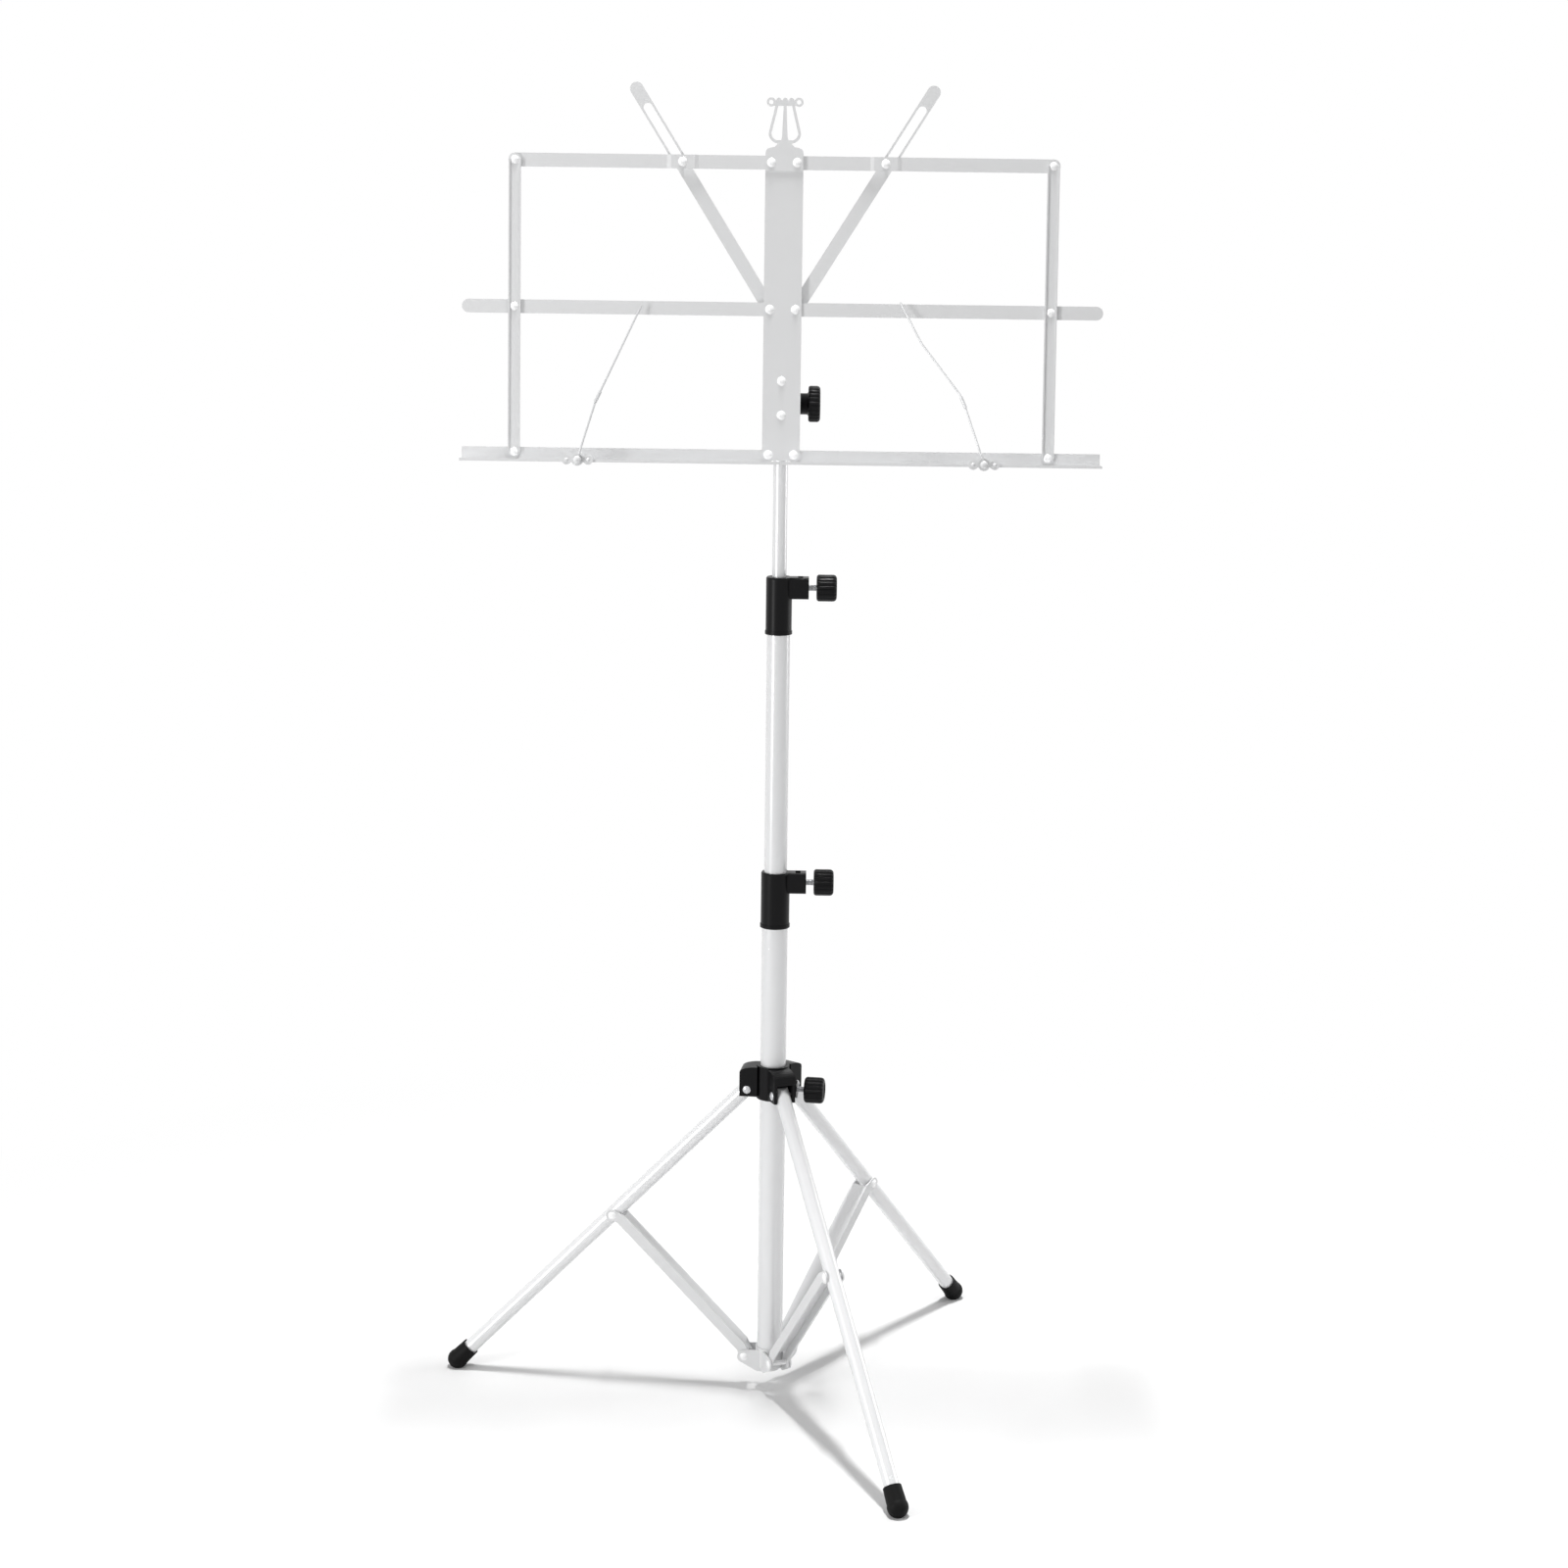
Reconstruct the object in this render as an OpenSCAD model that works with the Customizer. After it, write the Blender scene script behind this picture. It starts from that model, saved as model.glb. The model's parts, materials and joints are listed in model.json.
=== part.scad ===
// Folding music stand: a sheet-metal desk whose wings fold up beside the spine,
// carried by a three-section mast on a tripod whose legs fold along the mast.
// The mast stands on the Z axis, the floor is z = 0 and the desk faces -Y.

/* [Tripod] */
// Direction of the rear leg seen from above, degrees from +X
rear_leg_azimuth = 52; // [40:1:60]
// Angle of an open leg from the vertical
leg_tilt = 44; // [36:1:48]
// Height of the leg pivots in the hub above the floor
hub_pivot_z = 258; // [245:1:275]
// Distance of the leg and strut pivots from the mast axis
pivot_radius = 20; // [19.5:0.5:22]
// Length of a strut between its pivots, and of a leg above its strut
strut_length = 159; // [152:1:162]
// Outer diameter of a leg
leg_d = 12.2; // [11:0.2:13]
// Wall of a leg
leg_wall = 1; // [0.8:0.1:1.5]
// Depth of a strut channel along its flanges
strut_depth = 8.4; // [7:0.2:11]
// Sheet thickness of the struts and the base bracket
strut_sheet = 1.2; // [0.8:0.1:1.6]

/* [Feet] */
// Largest diameter of a rubber foot
foot_d = 16.8; // [16:0.2:19]
// Diameter of a rubber foot at its mouth
foot_mouth_d = 14.6; // [14.4:0.2:15.6]
// Length of a foot along the leg, mouth to the floor
foot_length = 26; // [22:1:30]

/* [Hub] */
// Thickness of a hub cheek beside a leg
hub_cheek = 2.5; // [1.8:0.1:3]
// Wall of the hub collar round the mast
hub_wall = 2.6; // [2:0.1:3]
// Height of the hub above its pivots
hub_rise = 20; // [19:0.5:24]
// Direction of the hub knob seen from above
hub_knob_azimuth = -8; // [-20:1:0]

/* [Mast] */
// Outer diameter of the lower tube
outer_d = 20.6; // [20.2:0.1:21.4]
// Outer diameter of the middle tube
middle_d = 18.2; // [17.6:0.1:18.6]
// Outer diameter of the upper tube
rod_d = 11.2; // [10:0.2:12]
// Wall of all three tubes
tube_wall = 0.8; // [0.6:0.1:1]
// Top of the lower clamp above the floor
lower_clamp_z = 438; // [432:1:450]
// Top of the upper clamp above the floor
upper_clamp_z = 675; // [660:1:690]
// Length of the middle tube
middle_length = 355; // [330:5:370]
// Length of the upper tube
rod_length = 315; // [290:5:330]
// Distance from the strut pivots down to the end of the lower tube
base_drop = 8.2; // [7:0.2:10]

/* [Clamps and knobs] */
// Wall of a clamp sleeve round its tube
clamp_wall = 1.1; // [0.9:0.1:1.6]
// Height of a clamp
clamp_height = 45; // [42:1:50]
// Height of a clamp's screw boss
boss_height = 17; // [15:0.5:19]
// Width of a clamp's screw boss
boss_width = 13; // [11.5:0.5:14]
// Reach of a screw boss beyond the sleeve
boss_reach = 13; // [11:0.5:15]
// Diameter of the clamp screws
stud_d = 5; // [4:0.5:6]
// Diameter of a clamp knob
knob_d = 21; // [18:0.5:23]
// Length of a clamp knob
knob_length = 16; // [13:0.5:18]
// Bare screw between a boss and its knob
stud_show = 6; // [4:0.5:8]

/* [Tilt joint] */
// Height of the tilt bolt above the floor
tilt_z = 810; // [800:1:825]
// Lean of the desk from the vertical
desk_tilt = 6; // [0:1:15]
// Distance from the tilt bolt to the front of the desk
desk_reach = 19.5; // [18:0.5:23]
// Diameter of the tilt bolt
tilt_bolt_d = 6; // [5:0.5:7]
// Diameter of the tilt knob's head
tilt_knob_d = 27.8; // [24:0.2:30]
// Thickness of the tilt knob's head
tilt_knob_t = 9.3; // [8:0.1:11]

/* [Desk] */
// Overall width of the open desk
desk_width = 490; // [470:5:500]
// Width of the spine plate
spine_w = 29; // [27:0.5:30]
// Height between two rows of pivots
row_pitch = 110.5; // [104:0.5:114]
// Distance from the top row of pivots to the end of the spine
row_inset = 10.5; // [9:0.5:12]
// Distance between the two pivots of a row
pivot_pitch = 19.6; // [19:0.2:21]
// Distance from the tilt bolt down to the lowest row of pivots
low_row_drop = 39.2; // [36:0.2:42]
// Distance from a wing's inner pivot to its side bar
side_reach = 195; // [180:1:200]
// Sheet thickness of the desk
sheet = 1.2; // [1:0.1:1.4]
// Height of the top and middle bars
bar_w = 10.4; // [9:0.2:11]
// Width of the side bars
side_bar_w = 9.4; // [8.6:0.2:9.8]
// Height of the raised lips along the side bars
side_lip = 1.2; // [0.6:0.1:1.6]
// Depth of the shelf in front of the spine
shelf_depth = 20; // [16:1:24]
// Height of the lip along the front of the shelf
shelf_lip = 1; // [0.6:0.1:1.2]
// Distance from the lowest pivots down to the shelf
shelf_drop = 5.9; // [5.5:0.1:6.5]

/* [Book arms] */
// Distance along a top bar to the pin that guides the arm
guide_reach = 67.5; // [62:0.5:70]
// Length of an arm from pivot to tip
arm_length = 199.5; // [196:0.5:205]
// Width of an arm
arm_w = 10.2; // [9.8:0.1:11]
// Width of the slot in an arm
slot_w = 6.8; // [6.4:0.1:7]
// Solid tip beyond the slot
arm_tip = 18; // [15:1:20]

/* [Page clips] */
// Distance along the shelf to a page clip
clip_reach = 145; // [135:1:155]
// Diameter of the clip wire
wire_d = 1.6; // [1.2:0.1:2]
// Width of the clip's saddle
saddle_w = 24; // [20:1:28]

/* [Hidden] */

$fn = 48;
fine = 96;

// Clearances
turn_gap = 0.08;   // radial, round a pin that turns or a tube that slides
seat_gap = 0.02;   // radial, round a pin or tube that is fixed
face_gap = 0.3;    // between flat faces that pass each other
over = 1;          // how far a cutter runs past a face

// Colours
pale_metal = "#d6d6d6";
bright_metal = "#ececee";
steel = "#b8babd";
black_plastic = "#1b1b1c";
rubber_black = "#121212";

// Rivets: head and tail are low domes
head_d = 7;
head_h = 1.3;
shank_d = 4;
tail_d = 6.4;
tail_h = 1.1;

// Three legs, spaced evenly
leg_spacing = 120;
rear_az = rear_leg_azimuth;
left_az = rear_az + leg_spacing;
front_az = rear_az - leg_spacing;

// Tripod geometry: leg and strut are equal sides of a triangle on the mast
base_pivot_z = hub_pivot_z - 2 * strut_length * cos(leg_tilt);
outer_foot_z = base_pivot_z - base_drop;
leg_to_floor = hub_pivot_z / cos(leg_tilt);
foot_start = leg_to_floor - foot_length;
foot_grip = 14;        // how far a leg reaches into its foot
foot_ball = 9.8;       // from the middle of a foot's ball to the floor, along the leg
leg_end = foot_start + foot_grip;
foot_centre = leg_to_floor - foot_ball;
strut_in_y = leg_d / 2 + face_gap;
strut_out_y = strut_in_y + strut_sheet;
strut_web_x = -strut_in_y - strut_sheet;
strut_web_end = leg_d / 2 + 1.2;
eye_r = 5;
base_in_y = strut_out_y + 0.4;
base_out_y = base_in_y + strut_sheet;
bracket_rise = 8;      // bracket above the strut pivots
bracket_dish = 3.6;    // dished floor below the end of the lower tube

// Hub: cheeks stand clear of the leg on both sides
hub_bore_d = outer_d + 2 * face_gap;
hub_collar_d = hub_bore_d + 2 * hub_wall;
hub_inner_y = leg_d / 2 + 0.4;
hub_outer_y = hub_inner_y + hub_cheek;
hub_drop = 5.5;
hub_skirt = 2;
hub_arm_r = pivot_radius + 6;
hub_shoulder = hub_rise - 5.3;
hub_step = 0.8;
hub_hood_z = leg_d / 2 + 3;
hub_boss_r = pivot_radius;
hub_boss_d = 14;

// Mast
outer_bore_d = outer_d - 2 * tube_wall;
middle_bore_d = middle_d - 2 * tube_wall;
rod_bore_d = rod_d - 2 * tube_wall;
guide_height = boss_height + 3;
outer_top_z = lower_clamp_z - guide_height;
middle_top_z = upper_clamp_z - guide_height;
middle_foot_z = middle_top_z - middle_length;
tongue_height = 14;    // from the top of the upper tube to the tilt bolt
rod_top_z = tilt_z - tongue_height;
rod_foot_z = rod_top_z - rod_length;
bush_length = 20;
bush_flange = 3;
bush_wall = 3;
stud_depth = boss_height / 2;
knob_base = 1.2;
knob_crown = 1.8;
flute_d = 2.6;
nut_w = 8;
nut_t = 4;
nut_inset = 4.5;

// Desk layers, front to back: spine and side bars, bars, arms
face_y = -desk_reach;
spine_back_y = face_y + sheet;
bar_y = spine_back_y + face_gap;
bar_back_y = bar_y + sheet;
arm_y = bar_back_y + tail_h + 2 * face_gap;
arm_back_y = arm_y + sheet;

// Desk rows, measured from the tilt bolt
low_z = -low_row_drop;
mid_z = low_z + row_pitch;
top_z = mid_z + row_pitch;
spine_top_z = top_z + row_inset;
pivot_x = pivot_pitch / 2;
wing_length = desk_width / 2 - pivot_x;
arm_trim = 0.6;
arm_angle = atan2(guide_reach, row_pitch) + arm_trim;
guide_start = norm([guide_reach, row_pitch]);
guide_d = 2.6;
joggle = 0.9;
joggle_w = 18;
joggle_run = 3;

// Shelf and page clips
shelf_z = low_z - shelf_drop;
shelf_front_y = face_y - shelf_depth;
lobe_r = 5.5;
shelf_start = 1 - pivot_x;
ledge_rise = 3.6;
clip_y = shelf_front_y - face_gap;
saddle_t = 1.2;
saddle_dome_h = 0.9;
clip_pin_d = 3;
sleeve_length = 8;
wire_lift = saddle_dome_h + face_gap;   // the wire swings past the saddle's domes
saddle_hook = 0.8;
saddle_z = shelf_z + 0.6;
wire_y = clip_y - saddle_t - wire_lift - wire_d / 2;
wire_top_y = face_y - head_h - face_gap - wire_d / 2 - 0.5;
wire_rise = 122;
wire_knee = saddle_w / 2 + 1;   // the wire leans back once it is past the saddle
// Clip wires as (inward, up) points from the pivot
left_wire = [[0, 0], [13.5, 44.5], [47, wire_rise - 5]];
right_wire = [[0, 0], [15, 44], [19, 53], [49, 92], [65, wire_rise]];

// Finial
finial_t = 1;
finial_height = 40;
finial_band = 2.2;

// Tilt joint
plug_length = 16;
plug_lip = 2;
tongue_w = 8;
ear_t = 1.6;
ear_x = tongue_w / 2 + 0.15;
ear_out = ear_x + ear_t;
knob_boss_end = spine_w / 2 + 6.2;
tilt_eye_r = 6.5;
centre_rivet_z = 17;
centre_rivet_low_z = -9;

// ---------- Building blocks ----------

// A low dome standing on z = 0
module dome(d, h) {
    r = (d * d / 4 + h * h) / (2 * h);
    intersection() {
        translate([0, 0, h - r]) sphere(r = r);
        cylinder(d = d + over, h = h + over);
    }
}

// A rivet along +Z: head below z = 0, then the grip, then the tail
module rivet(grip, shank = shank_d, head = head_d, tail = tail_d) {
    mirror([0, 0, 1]) dome(head, head_h);
    cylinder(d = shank, h = grip);
    translate([0, 0, grip]) dome(tail, tail_h);
}

// A flat plate: the 2D outline (x, z) becomes a sheet from y to y + t
module plate(y, t) {
    translate([0, y + t, 0]) rotate([90, 0, 0]) linear_extrude(t) children();
}

// A rivet along +Y with its head's flat at y
module desk_rivet(x, y, z, grip, shank = shank_d, head = head_d, tail = tail_d) {
    translate([x, y, z]) rotate([-90, 0, 0]) rivet(grip, shank, head, tail);
}

// A hole along Y at (x, z)
module desk_hole(x, z, d) {
    translate([x, face_y - 2 * over, z]) rotate([-90, 0, 0]) cylinder(d = d, h = desk_reach);
}

module rounded_rect(w, h, r) {
    square([w - 2 * r, h], center = true);
    square([w, h - 2 * r], center = true);
    for (x = [-1, 1], y = [-1, 1])
        translate([x * (w / 2 - r), y * (h / 2 - r)]) circle(r = r);
}

// A strip along +X with a round end at x0, and at x1 a round or a square one
module strip(w, x0, x1, round_end = true) {
    translate([x0, -w / 2]) square([x1 - x0, w]);
    translate([x0, 0]) circle(d = w);
    if (round_end) translate([x1, 0]) circle(d = w);
}

// A straight round bar between two points
module bar_between(a, b, d) {
    v = b - a;
    translate(a) rotate([0, acos(v.z / norm(v)), atan2(v.y, v.x)]) cylinder(d = d, h = norm(v));
}

module tube(d, bore, z0, z1) {
    translate([0, 0, z0]) difference() {
        cylinder(d = d, h = z1 - z0, $fn = fine);
        translate([0, 0, -over]) cylinder(d = bore, h = z1 - z0 + 2 * over, $fn = fine);
    }
}

// Things in the desk's frame, which leans back about the tilt bolt
module on_desk() {
    translate([0, 0, tilt_z]) rotate([-desk_tilt, 0, 0]) children();
}

// The right wing is drawn, and the left wing is its mirror image
module on_side(side) {
    on_desk() mirror([side < 0 ? 1 : 0, 0, 0]) children();
}

// ---------- Tripod ----------

module in_leg(az) {
    rotate([0, 0, az]) translate([pivot_radius, 0, hub_pivot_z]) rotate([0, -leg_tilt, 0]) children();
}

module in_strut(az) {
    rotate([0, 0, az]) translate([pivot_radius, 0, base_pivot_z]) rotate([0, leg_tilt, 0]) children();
}

module across(y0, y1, d) {
    translate([0, y0, 0]) rotate([-90, 0, 0]) cylinder(d = d, h = y1 - y0);
}

module leg(az) {
    color(bright_metal) in_leg(az) difference() {
        union() {
            translate([0, 0, -leg_end]) cylinder(d = leg_d, h = leg_end);
            intersection() {
                across(-leg_d / 2, leg_d / 2, leg_d);
                cylinder(d = leg_d, h = leg_d);
            }
        }
        translate([0, 0, -leg_end - over]) cylinder(d = leg_d - 2 * leg_wall, h = leg_end - leg_d / 2);
        across(-leg_d, leg_d, shank_d + 2 * turn_gap);
        translate([0, 0, -strut_length]) across(-leg_d, leg_d, shank_d + 2 * seat_gap);
    }
}

module foot(az) {
    color(rubber_black) difference() {
        in_leg(az) difference() {
            union() {
                translate([0, 0, -foot_centre]) sphere(d = foot_d, $fn = fine);
                translate([0, 0, -foot_centre])
                    cylinder(d1 = foot_d - 1, d2 = foot_mouth_d, h = foot_centre - foot_start);
            }
            translate([0, 0, -leg_end]) cylinder(d = leg_d + 2 * seat_gap, h = leg_end);
            translate([0, 0, -foot_start - 1.2]) cylinder(d1 = leg_d, d2 = leg_d + 2.4, h = 1.3);
        }
        translate([-2 * leg_to_floor, -2 * leg_to_floor, -foot_d])
            cube([4 * leg_to_floor, 4 * leg_to_floor, foot_d]);
    }
}

module leg_rivet(az) {
    color(steel) in_leg(az) translate([0, -strut_out_y, -strut_length]) rotate([-90, 0, 0])
        rivet(2 * strut_out_y);
}

// Side of a strut: two round eyes and the flange between them
module strut_side() {
    x1 = strut_web_x + strut_depth;
    polygon([[-eye_r, 0], [strut_web_x, strut_web_end], [strut_web_x, strut_length - strut_web_end],
             [-eye_r, strut_length], [eye_r, strut_length], [x1, strut_length - strut_web_end],
             [x1, strut_web_end], [eye_r, 0]]);
    circle(r = eye_r);
    translate([0, strut_length]) circle(r = eye_r);
}

// A channel that straddles the leg: its web faces the mast and its flanges carry the pivots
module strut(az) {
    color(pale_metal) in_strut(az) difference() {
        union() {
            plate(-strut_out_y, strut_sheet) strut_side();
            plate(strut_in_y, strut_sheet) strut_side();
            translate([strut_web_x, -strut_out_y, strut_web_end])
                cube([strut_sheet, 2 * strut_out_y, strut_length - 2 * strut_web_end]);
        }
        across(-2 * leg_d, 2 * leg_d, shank_d + 2 * turn_gap);
        translate([0, 0, strut_length]) across(-2 * leg_d, 2 * leg_d, shank_d + 2 * turn_gap);
    }
}

module strut_rivets() {
    color(steel) for (az = [left_az, rear_az, front_az])
        in_strut(az) translate([0, -base_out_y, 0]) rotate([-90, 0, 0]) rivet(2 * base_out_y);
}

// A pressed spider under the mast: a collar, a dished floor and three open arms
module base_bracket() {
    top = base_pivot_z + bracket_rise;
    low = outer_foot_z - bracket_dish;
    color(pale_metal) difference() {
        union() {
            tube(outer_d + 2 * strut_sheet, outer_d + 2 * seat_gap, outer_foot_z, top);
            translate([0, 0, low])
                cylinder(d1 = outer_d - 4, d2 = outer_d + 2 * strut_sheet, h = outer_foot_z - low);
            for (az = [left_az, rear_az, front_az]) rotate([0, 0, az])
                for (y = [-base_out_y, base_in_y])
                    plate(y, strut_sheet) bracket_cheek(low, top);
        }
        translate([0, 0, outer_foot_z]) cylinder(d = outer_d + 2 * seat_gap, h = top, $fn = fine);
        for (az = [left_az, rear_az, front_az])
            in_strut(az) across(-2 * leg_d, 2 * leg_d, shank_d + 2 * seat_gap);
    }
}

module bracket_cheek(low, top) {
    r0 = outer_d / 4;
    translate([pivot_radius, base_pivot_z]) circle(r = eye_r + 0.5);
    polygon([[r0, low], [r0 + 4, low], [pivot_radius + 2, base_pivot_z - eye_r],
             [pivot_radius + 1, base_pivot_z + eye_r + 0.4], [outer_d / 2 + 3, top - 2],
             [r0, top - 2]]);
}

// ---------- Hub ----------

// Outline of a hub arm in the plane of its leg: a wall with an arched roof up to the collar
module hub_arm_outline() {
    r0 = hub_bore_d / 2 + 1;
    run = hub_arm_r - r0;
    arch = hub_rise - hub_step - hub_shoulder;
    roof = [for (a = [0 : 15 : 90]) [r0 + run * cos(a), hub_shoulder + arch * sin(a)]];
    polygon(concat([[r0, -hub_drop], [hub_arm_r, -hub_drop]], roof));
}

module hub_arm() {
    difference() {
        plate(-hub_outer_y, 2 * hub_outer_y) hub_arm_outline();
        // The leg's room: open below and outwards under the hood
        translate([hub_collar_d / 2 - 0.5, -hub_inner_y, -hub_drop - over])
            cube([hub_arm_r, 2 * hub_inner_y, hub_drop + over + hub_hood_z]);
        translate([hub_collar_d / 2 - 0.5, -hub_inner_y, -over])
            cube([hub_arm_r - hub_cheek - hub_collar_d / 2 + 0.5, 2 * hub_inner_y, hub_shoulder - 1]);
    }
}

module tripod_hub() {
    color(black_plastic) translate([0, 0, hub_pivot_z]) difference() {
        union() {
            translate([0, 0, -hub_drop - hub_skirt])
                cylinder(d = hub_collar_d, h = hub_rise + hub_drop + hub_skirt, $fn = fine);
            for (az = [left_az, rear_az, front_az]) rotate([0, 0, az]) hub_arm();
            rotate([0, 0, hub_knob_azimuth]) rotate([0, 90, 0]) cylinder(d = hub_boss_d, h = hub_boss_r);
        }
        translate([0, 0, -hub_pivot_z]) cylinder(d = hub_bore_d, h = 2 * hub_pivot_z, $fn = fine);
        rotate([0, 0, hub_knob_azimuth]) rotate([0, 90, 0]) cylinder(d = stud_d + 2 * turn_gap, h = hub_arm_r);
        for (az = [left_az, rear_az, front_az]) rotate([0, 0, az]) translate([pivot_radius, 0, 0])
            across(-2 * hub_outer_y, 2 * hub_outer_y, shank_d + 2 * seat_gap);
    }
}

module hub_rivets() {
    color(steel) for (az = [left_az, rear_az, front_az]) rotate([0, 0, az])
        translate([pivot_radius, -hub_outer_y, hub_pivot_z]) rotate([-90, 0, 0]) rivet(2 * hub_outer_y);
}

// ---------- Knobs and screws, along +X from the mast axis ----------

// A round knob with bevelled rims and flutes along its side
module fluted_knob(d, len, flutes) {
    difference() {
        union() {
            cylinder(d1 = d - 2 * knob_base, d2 = d, h = knob_base);
            translate([0, 0, knob_base]) cylinder(d = d, h = len - knob_base - knob_crown);
            translate([0, 0, len - knob_crown]) cylinder(d1 = d, d2 = d - 2.5 * knob_crown, h = knob_crown);
        }
        for (i = [0 : flutes - 1]) rotate([0, 0, i * 360 / flutes])
            translate([d / 2 + flute_d * 0.2, 0, -over]) cylinder(d = flute_d, h = len + 2 * over);
    }
}

module clamp_knob(start) {
    color(black_plastic) translate([start, 0, 0]) rotate([0, 90, 0]) difference() {
        fluted_knob(knob_d, knob_length, 18);
        translate([0, 0, -over]) cylinder(d = stud_d + 2 * seat_gap, h = knob_length * 0.6 + over);
    }
}

module clamp_stud(tip, start) {
    color(steel) translate([tip, 0, 0]) rotate([0, 90, 0]) {
        cylinder(d1 = stud_d - 1.4, d2 = stud_d, h = 0.8);
        translate([0, 0, 0.8]) cylinder(d = stud_d, h = start + knob_length * 0.6 - tip - 0.8);
    }
}

// ---------- Clamps ----------

function clamp_d(tube_d) = tube_d + 2 * clamp_wall;
function boss_end(tube_d) = clamp_d(tube_d) / 2 + boss_reach;

// A moulded sleeve over the end of a tube, guiding the next one, with a boss for the screw
module clamp(tube_d, inner_d) {
    d = clamp_d(tube_d);
    nut_x = d / 2 + nut_inset;
    color(black_plastic) difference() {
        union() {
            translate([0, 0, -clamp_height]) cylinder(d = d, h = clamp_height - over, $fn = fine);
            translate([0, 0, -over]) cylinder(d1 = d, d2 = d - 2 * over * 0.6, h = over, $fn = fine);
            translate([0, 0, -clamp_height]) cylinder(d = d + 1, h = 2.5, $fn = fine);
            translate([0, 0, -stud_depth]) rotate([90, 0, 90]) linear_extrude(boss_end(tube_d))
                rounded_rect(boss_width, boss_height, 2.5);
        }
        translate([0, 0, -clamp_height - over])
            cylinder(d = tube_d + 2 * seat_gap, h = clamp_height - guide_height + over, $fn = fine);
        translate([0, 0, -clamp_height]) cylinder(d = inner_d + 2 * turn_gap, h = 2 * clamp_height, $fn = fine);
        translate([0, 0, -stud_depth]) rotate([0, 90, 0]) cylinder(d = stud_d + 2 * turn_gap, h = 2 * d);
        translate([nut_x, -nut_w / 2 - seat_gap, -stud_depth - nut_w / cos(30) / 2 - seat_gap])
            cube([nut_t + 2 * seat_gap, nut_w + 2 * seat_gap, boss_height]);
    }
}

module clamp_nut(tube_d) {
    color(steel) translate([clamp_d(tube_d) / 2 + nut_inset + seat_gap, 0, -stud_depth]) rotate([0, 90, 0])
        difference() {
            cylinder(d = nut_w / cos(30), h = nut_t, $fn = 6);
            translate([0, 0, -over]) cylinder(d = stud_d + 2 * turn_gap, h = nut_t + 2 * over);
        }
}

module at_lower() { translate([0, 0, lower_clamp_z]) children(); }
module at_upper() { translate([0, 0, upper_clamp_z]) children(); }
module at_stud() { translate([0, 0, -stud_depth]) children(); }

module lower_clamp() { at_lower() clamp(outer_d, middle_d); }
module upper_clamp() { at_upper() clamp(middle_d, rod_d); }
module lower_nut() { at_lower() clamp_nut(outer_d); }
module upper_nut() { at_upper() clamp_nut(middle_d); }
module lower_knob() { at_lower() at_stud() clamp_knob(boss_end(outer_d) + stud_show); }
module upper_knob() { at_upper() at_stud() clamp_knob(boss_end(middle_d) + stud_show); }
module lower_stud() {
    at_lower() at_stud() clamp_stud(middle_d / 2 + face_gap, boss_end(outer_d) + stud_show);
}
module upper_stud() {
    at_upper() at_stud() clamp_stud(rod_d / 2 + face_gap, boss_end(middle_d) + stud_show);
}
module at_hub_stud() {
    translate([0, 0, hub_pivot_z]) rotate([0, 0, hub_knob_azimuth]) children();
}
module hub_knob() { at_hub_stud() clamp_knob(hub_boss_r + stud_show); }
module hub_stud() { at_hub_stud() clamp_stud(outer_d / 2 + face_gap, hub_boss_r + stud_show); }

// ---------- Mast ----------

module outer_tube() { color(bright_metal) tube(outer_d, outer_bore_d, outer_foot_z, outer_top_z); }
module middle_tube() {
    color(bright_metal) tube(middle_d, middle_bore_d, middle_foot_z, middle_top_z);
}
module mast_rod() { color(bright_metal) tube(rod_d, rod_bore_d, rod_foot_z, rod_top_z); }

// A plug with a flange that steadies a tube's foot inside the tube below
module bush(bore, inner, z) {
    color(black_plastic) translate([0, 0, z]) difference() {
        union() {
            translate([0, 0, -bush_flange]) cylinder(d = bore - 2 * turn_gap, h = bush_flange - face_gap);
            translate([0, 0, -bush_flange]) cylinder(d = inner - 2 * turn_gap, h = bush_length);
        }
        translate([0, 0, -bush_flange - over]) cylinder(d = inner - 2 * bush_wall, h = bush_length + 2 * over);
    }
}
module middle_bush() { bush(outer_bore_d, middle_bore_d, middle_foot_z); }
module rod_bush() { bush(middle_bore_d, rod_bore_d, rod_foot_z); }

// ---------- Tilt joint ----------

// A cast plug in the top of the rod, flattened to a tongue with the bolt's eye
module tilt_head() {
    color(steel) difference() {
        union() {
            translate([0, 0, rod_top_z - plug_length])
                cylinder(d = rod_bore_d - 2 * seat_gap, h = plug_length + over);
            translate([0, 0, rod_top_z]) cylinder(d = rod_d, h = plug_lip);
            intersection() {
                translate([-tongue_w / 2, -rod_d / 2, rod_top_z]) cube([tongue_w, rod_d, tilt_z - rod_top_z]);
                cylinder(d = rod_d, h = tilt_z);
            }
            translate([-tongue_w / 2, 0, tilt_z]) rotate([0, 90, 0]) cylinder(r = tilt_eye_r, h = tongue_w);
        }
        translate([-rod_d, 0, tilt_z]) rotate([0, 90, 0])
            cylinder(d = tilt_bolt_d + 2 * turn_gap, h = 2 * rod_d);
    }
}

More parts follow.
